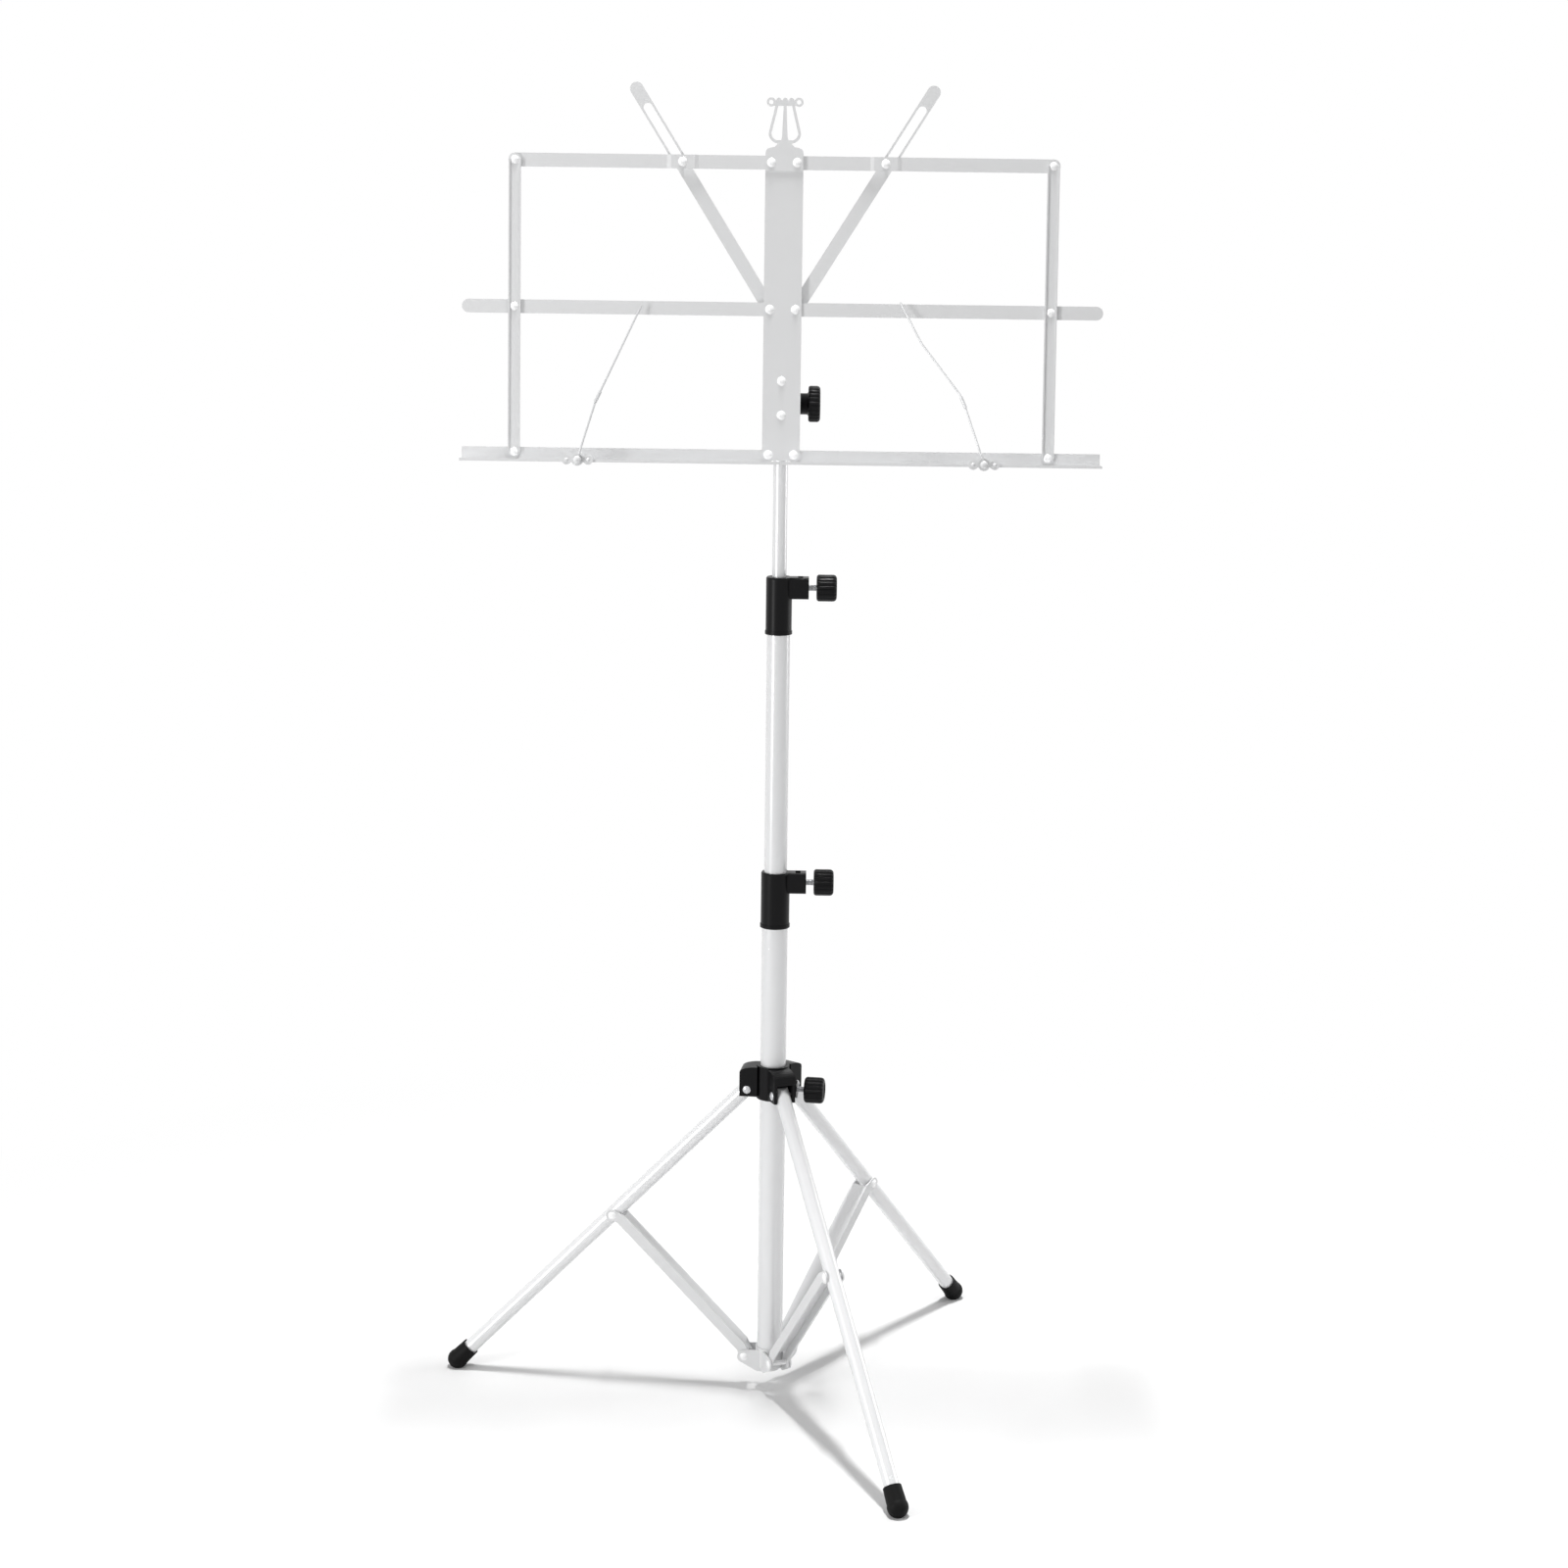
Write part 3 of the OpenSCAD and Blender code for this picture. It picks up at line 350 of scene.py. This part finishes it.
def lathe(profile: list[tuple[float, float, float]], flutes: int, depth: float, place: Matrix) -> bpy.types.Mesh:
    """Turns a profile about X, with flutes along it.

    Args:
        profile: (radius, distance, share of the flutes' depth) in millimetres, from pole to pole.
        flutes: the number of flutes.
        depth: how deep a flute is cut, in millimetres.
        place: where the turned piece goes, in metres.

    Returns:
        A closed mesh.
    """
    around = max(flutes * 10, 96)
    shape = bmesh.new()
    rings = []
    for radius, along, share in profile:
        if radius == 0:
            rings.append([shape.verts.new(place @ Vector((along * MM, 0, 0)))])
            continue
        ring = []
        for step in range(around):
            turn = 2 * pi * step / around
            wave = max(cos(flutes * turn), -FLUTE_FLAT) + FLUTE_FLAT
            reach = (radius - depth * share * wave / (1 + FLUTE_FLAT)) * MM
            ring.append(shape.verts.new(place @ Vector((along * MM, reach * cos(turn), reach * sin(turn)))))
        rings.append(ring)
    for a, b in zip(rings, rings[1:]):
        for i in range(around):
            j = (i + 1) % around
            corners = [a[i % len(a)], a[j % len(a)], b[j % len(b)], b[i % len(b)]]
            shape.faces.new(list(dict.fromkeys(corners)))
    bmesh.ops.recalc_face_normals(shape, faces=shape.faces)
    mesh = bpy.data.meshes.new("turned")
    shape.to_mesh(mesh)
    shape.free()
    return smooth(mesh)


def along_x(height: float, azimuth: float = 0.0) -> Matrix:
    """Returns the place of an axis that leaves the mast at a height in metres and an azimuth in degrees."""
    return Matrix.Translation((0, 0, height)) @ Matrix.Rotation(radians(azimuth), 4, "Z")


@dataclass
class ClampScrew:
    """A clamp's fluted knob and threaded screw."""

    prefix: str
    body: str
    start: float
    azimuth: float = 0.0
    radius: float = 10.5
    length: float = 16.0
    pitch: float = 0.8
    flutes: int = 18
    screw_radius: float = 2.5
    ridge: float = 0.42
    thread_depth: float = 0.55
    grip: float = 0.55

    def build(self, shop: Workshop) -> None:
        """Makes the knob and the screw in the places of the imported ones.

        Args:
            shop: where the pieces are made.
        """
        low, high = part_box(self.prefix + "_stud")
        height = (low[2] + high[2]) / 2
        place = along_x(height, self.azimuth)
        mesh = lathe(self._profile(), self.flutes, FLUTE_DEPTH, place @ Matrix.Translation((self.start * MM, 0, 0)))
        shop.piece(self.prefix + "_turned_knob", mesh, Dressing.PLASTIC, self.body, self.prefix + "_knob")
        tip = low[0] / cos(radians(self.azimuth))
        root = self.screw_radius - self.thread_depth * self.pitch
        shop.piece(self.prefix + "_threaded_screw", self._thread(shop, place, tip, root), Dressing.STEEL,
                   self.body, self.prefix + "_stud")

    def _profile(self) -> list[tuple[float, float, float]]:
        """Returns the knob's profile, with a dished face and rounded rims."""
        r, t = self.radius, self.length
        return [(0, 0.02, 0), (2.7, 0.02, 0), (r - 2.4, 0.05, 0), (r - 1.3, 0.2, 0), (r - 0.5, 0.8, 0.3), (r, 1.7, 1),
                (r, 4, 1), (r, t - 4, 1), (r - 0.05, t - 2.6, 1), (r - 0.5, t - 1.4, 0.7), (r - 1.5, t - 0.5, 0.2),
                (r - 2.6, t - 0.1, 0), (r - 3.6, t - 0.05, 0), (r - 4.2, t - 0.3, 0), (r - 4.5, t - 0.9, 0),
                (r - 5.2, t - 1.1, 0), (0, t - 1.1, 0)]

    def _thread(self, shop: Workshop, place: Matrix, tip: float, root: float) -> bpy.types.Mesh:
        """Returns the screw: a plain root with a helical ridge round it."""
        length = (self.start + self.length * self.grip) * MM - tip

        def build(tree: Tree, entry: Any) -> Any:
            """Adds the root and the ridge, and returns their joined socket."""
            size = entry.outputs
            ridge = tree.add("GeometryNodeCurveSpiral", {}, {
                "Resolution": 20, "Rotations": length / (self.pitch * MM) - 2, "Start Radius": size["Root"],
                "End Radius": size["Root"], "Height": size["Ridge length"]})
            bead = tree.add("GeometryNodeCurvePrimitiveCircle", {"mode": "RADIUS"}, {
                "Resolution": 4, "Radius": size["Ridge"]})
            wound = tree.add("GeometryNodeCurveToMesh", {}, {
                0: ridge.outputs[0], 1: bead.outputs[0], "Fill Caps": True})
            lifted = tree.add("GeometryNodeTransform", {}, {
                0: wound.outputs[0], "Translation": (0, 0, self.pitch * MM)})
            core = tree.add("GeometryNodeMeshCylinder", {}, {
                "Vertices": 32, "Radius": size["Root"], "Depth": size["Length"]})
            stood = tree.add("GeometryNodeTransform", {}, {0: core.outputs[0], "Translation": (0, 0, length / 2)})
            both = tree.add("GeometryNodeJoinGeometry", {}, {0: lifted.outputs[0]})
            tree.feed(both.inputs[0], stood.outputs[0])
            return both.outputs[0]

        mesh = shop.grown(build, {"Root": root * MM, "Ridge": self.ridge * MM, "Length": length,
                                  "Ridge length": length - 2 * self.pitch * MM})
        mesh.transform(place @ Matrix.Translation((tip, 0, 0)) @ Matrix.Rotation(pi / 2, 4, "Y"))
        return mesh


@dataclass
class TiltKnob:
    """The large fluted knob that locks the desk's tilt."""

    radius: float = 13.9
    boss: float = 8.2
    inner: float = 5.95
    shoulder: float = 20.7
    outer: float = 30.0
    flutes: int = 24

    def build(self, shop: Workshop) -> None:
        """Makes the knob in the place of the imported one."""
        low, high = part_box("tilt_knob")
        r, a, b = self.radius, self.shoulder, self.outer
        profile = [(0, self.inner, 0), (3.2, self.inner, 0), (self.boss - 0.8, self.inner, 0),
                   (self.boss, self.inner + 0.7, 0), (self.boss, a - 1.0, 0), (self.boss + 0.5, a - 0.3, 0),
                   (self.boss + 1.3, a, 0), (r - 1.4, a + 0.05, 0), (r - 0.5, a + 0.5, 0.4), (r, a + 1.4, 1),
                   (r, b - 2.2, 1), (r - 0.4, b - 1.2, 0.8), (r - 1.3, b - 0.4, 0.3), (r - 2.4, b - 0.05, 0),
                   (r - 4.4, b, 0), (r - 4.9, b - 0.2, 0), (r - 5.2, b - 0.8, 0), (r - 6.0, b - 1.0, 0),
                   (0, b - 1.0, 0)]
        place = Matrix.Translation((0, (low[1] + high[1]) / 2, (low[2] + high[2]) / 2))
        mesh = lathe(profile, self.flutes, FLUTE_DEPTH, place)
        shop.piece("tilt_turned_knob", mesh, Dressing.PLASTIC, "tilt_knob", "tilt_knob")


@dataclass
class PageWire:
    """A sprung wire that holds the pages, bent from one length with an eye round its pin."""

    side: int
    path: list[tuple[float, float]]
    reach: float = 154.8
    pivot: float = -44.5
    front: float = -43.0
    back: float = -22.4
    rise: float = 122.0
    knee: float = 13.0
    lean: float = 6.0
    desk_height: float = 810.0
    wire: float = 0.8
    eye: float = 2.38
    eye_gap: float = 1.2
    bend: float = 6.0
    sleeve: float = 1.3
    sleeve_stops: tuple[float, ...] = (-1.0, 3.5, 8.0)

    def build(self, shop: Workshop) -> None:
        """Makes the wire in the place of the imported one."""
        name = "left" if self.side < 0 else "right"
        turn = Vector(self.path[1]).normalized()
        loop = [Vector((self.eye * sin(a), self.eye * cos(a))) for a in (radians(20 * i) for i in range(17, 0, -1))]
        spun = [Vector((v.x * turn.y + v.y * turn.x, v.y * turn.y - v.x * turn.x)) for v in loop]
        low = [Vector(self.path[1]) * step / self.path[1][1] for step in (self.eye + self.eye_gap, self.knee)]
        flat = spun + low + [Vector(p) for p in self.path[1:]]
        mesh = shop.grown(self._tree, {"Wire": self.wire * MM, "Bend": self.bend * MM},
                          [self._placed(p) for p in flat])
        shop.piece(name + "_bent_wire", smooth(mesh), Dressing.WIRE, name + "_clip", name + "_page_wire")
        bend = Vector(self.path[1])
        onward = (Vector(self.path[2]) - bend).normalized()
        sleeve = shop.grown(self._tree, {"Wire": self.sleeve * MM, "Bend": 0.0},
                            [self._placed(bend + onward * s) for s in self.sleeve_stops])
        shop.piece(name + "_wire_sleeve", smooth(sleeve), Dressing.WIRE, name + "_clip")

    def _placed(self, point: Vector) -> Vector:
        """Returns a point of the wire, given as (inward, up) in millimetres, in the row frame."""
        across = self.side * (self.reach - point.x)
        leaning = max(point.y - self.knee, 0.0) / (self.rise - self.knee)
        depth = self.front + (self.back - self.front) * leaning
        up = self.pivot + point.y
        c, s = cos(radians(self.lean)), sin(radians(self.lean))
        return Vector((across, depth * c + up * s, self.desk_height - depth * s + up * c)) * MM

    @staticmethod
    def _tree(tree: Tree, entry: Any) -> Any:
        """Adds the nodes that sweep a round section along the path, and returns the result's socket."""
        line = tree.add("GeometryNodeMeshToCurve", {}, {0: entry.outputs["Geometry"]})
        bent = tree.add("GeometryNodeFilletCurve", {}, {0: line.outputs[0], "Radius": entry.outputs["Bend"]})
        section = tree.add("GeometryNodeCurvePrimitiveCircle", {"mode": "RADIUS"}, {
            "Resolution": 14, "Radius": entry.outputs["Wire"]})
        swept = tree.add("GeometryNodeCurveToMesh", {}, {
            0: bent.outputs[0], 1: section.outputs[0], "Fill Caps": True})
        return swept.outputs[0]


@dataclass(frozen=True)
class Lamp:
    """A soft lamp: its place, its width and height, and its power."""

    place: tuple[float, float, float]
    width: float
    height: float
    power: float


@dataclass
class Studio:
    """The pale floor, the soft lamps and the camera."""

    eye: tuple[float, float, float] = (0.0031, -2.571, 1.077)
    pitch: float = 12.45
    yaw: float = 0.061
    roll: float = 0.753
    lens: float = 76.4
    floor_grey: float = 0.84
    fade_from: float = 0.36
    fade_rate: float = 1.7
    soft_light: float = 0.34
    lamps: list[Lamp] = field(default_factory=lambda: [
        Lamp((0.0, -0.03, 3.2), 0.14, 0.6, 78.0), Lamp((-1.75, -1.4, 0.7), 0.5, 1.3, 22.0),
        Lamp((2.0, 0.6, 0.8), 0.7, 1.2, 10.0), Lamp((0.6, 2.4, 1.8), 1.2, 1.2, 6.0)])

    def build(self) -> None:
        """Sets the floor, the lamps, the world and the camera."""
        self._floor()
        self._world()
        for number, lamp in enumerate(self.lamps):
            light = bpy.data.lights.new("soft_lamp_%d" % number, "AREA")
            light.shape, light.size, light.size_y, light.energy = "ELLIPSE", lamp.width, lamp.height, lamp.power
            holder = bpy.data.objects.new(light.name, light)
            holder.location = lamp.place
            aim = Vector((0, 0, 0.55)) - Vector(lamp.place)
            holder.rotation_euler = aim.to_track_quat("-Z", "Y").to_euler()
            bpy.context.scene.collection.objects.link(holder)
        data = bpy.data.cameras.new("camera")
        data.lens, data.sensor_width = self.lens, 36.0
        camera = bpy.data.objects.new("camera", data)
        dip, pan, lean = radians(self.pitch), radians(self.yaw), radians(self.roll)
        forward = Vector((sin(pan) * cos(dip), cos(pan) * cos(dip), -sin(dip)))
        right = Vector((cos(pan), -sin(pan), 0))
        up = right.cross(forward)
        turned = right * cos(lean) + up * sin(lean)
        raised = up * cos(lean) - right * sin(lean)
        camera.matrix_world = Matrix((turned, raised, -forward)).transposed().to_4x4()
        camera.location = self.eye
        bpy.context.scene.collection.objects.link(camera)
        bpy.context.scene.camera = camera
        bpy.context.scene.view_settings.view_transform = "Standard"

    def _floor(self) -> None:
        """Lays the floor, which fades to plain white away from the stand."""
        mesh = bpy.data.meshes.new("floor")
        half = 30.0
        square = [(-half, -half, 0), (half, -half, 0), (half, half, 0), (-half, half, 0)]
        mesh.from_pydata(square, [], [(0, 1, 2, 3)])
        floor = bpy.data.objects.new("floor", mesh)
        bpy.context.scene.collection.objects.link(floor)
        material = bpy.data.materials.new("pale_floor")
        material.use_nodes = True
        material.node_tree.nodes.clear()
        tree = Tree(material.node_tree)
        place = tree.add("ShaderNodeTexCoord").outputs["Object"]
        far = Flow(tree, tree.add("ShaderNodeVectorMath", {"operation": "LENGTH"}, {0: place}).outputs["Value"])
        seen = self._background_rays(tree)
        fade = ((far - self.fade_from) * self.fade_rate).clamped()
        share = seen * fade
        matt = tree.add("ShaderNodeBsdfDiffuse", {}, {"Color": (self.floor_grey,) * 3 + (1,)})
        glow = tree.add("ShaderNodeEmission", {}, {"Color": (1, 1, 1, 1), "Strength": 1.0})
        mix = tree.add("ShaderNodeMixShader", {}, {0: share.clamped(), 1: matt.outputs[0], 2: glow.outputs[0]})
        tree.add("ShaderNodeOutputMaterial", {}, {"Surface": mix.outputs[0]})
        mesh.materials.append(material)
        floor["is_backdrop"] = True

    @staticmethod
    def _background_rays(tree: Tree) -> Flow:
        """Returns 1 for the rays that see the background directly or by reflection."""
        path = tree.add("ShaderNodeLightPath").outputs
        seen = Flow(tree, path["Is Camera Ray"]) + Flow(tree, path["Is Glossy Ray"]) + path["Is Transmission Ray"]
        return seen.clamped()

    def _world(self) -> None:
        """Makes an even world that lights softly and shows white behind the stand."""
        world = bpy.data.worlds.new("studio")
        bpy.context.scene.world = world
        world.use_nodes = True
        world.node_tree.nodes.clear()
        tree = Tree(world.node_tree)
        strength = self.soft_light + self._background_rays(tree) * (1 - self.soft_light)
        back = tree.add("ShaderNodeBackground", {}, {"Color": (1, 1, 1, 1), "Strength": strength})
        tree.add("ShaderNodeOutputWorld", {}, {"Surface": back.outputs[0]})


def corners() -> list[list[float]]:
    """Returns the shown object's lowest and highest corner as plain numbers."""
    return [[float(v) for v in corner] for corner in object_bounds()]


def main() -> None:
    """Loads the frame, dresses it, adds the finer pieces and sets the studio."""
    logging.basicConfig(level=logging.INFO, format="%(name)s: %(message)s")
    shop = Workshop(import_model())
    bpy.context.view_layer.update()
    shop.dress_frame()
    ClampScrew("hub", "hub_knob", 26.0, -8.0).build(shop)
    ClampScrew("lower", "lower_knob", 30.4).build(shop)
    ClampScrew("upper", "upper_knob", 29.2).build(shop)
    TiltKnob().build(shop)
    PageWire(-1, [(0, 0), (13.5, 44.5), (47, 117)]).build(shop)
    PageWire(1, [(0, 0), (15, 44), (19, 53), (49, 92), (65, 122)]).build(shop)
    Studio().build()


if __name__ == "__main__":
    main()
